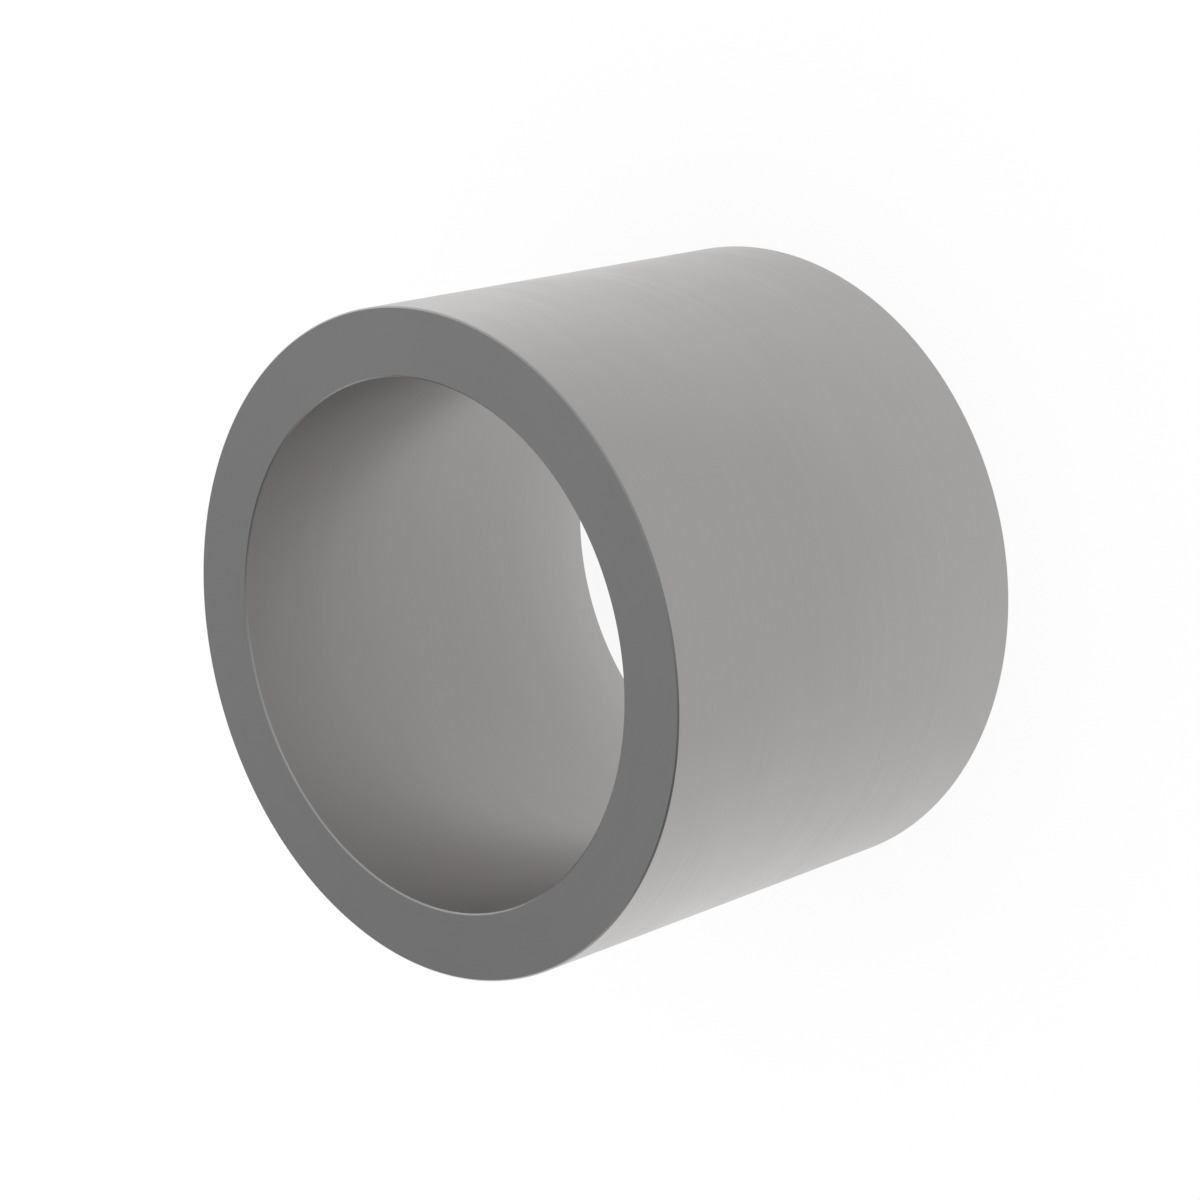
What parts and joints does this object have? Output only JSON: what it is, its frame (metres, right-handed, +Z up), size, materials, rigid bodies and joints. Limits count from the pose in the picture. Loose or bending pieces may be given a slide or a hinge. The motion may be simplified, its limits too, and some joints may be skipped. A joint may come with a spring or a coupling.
{
  "type": "spacer sleeve",
  "caption": "Plain round spacer sleeve: a short turned metal tube with a through bore for a bolt and flat square-cut ring faces at both ends.",
  "frame": {"origin": "centre of the lower ring face, on the axis of the bore, where the sleeve stands", "axes": "+Z up along the axis of the bore, from the lower ring face to the upper one; X and Y are free, because the sleeve is round"},
  "size_m": [0.022, 0.022, 0.0163],
  "materials": {
    "turned_steel": "fine turned, satin, neutral grey with a slight warm cast"
  },
  "bodies": {
    "root": {"sleeve": "turned_steel"}
  },
  "joints": []
}
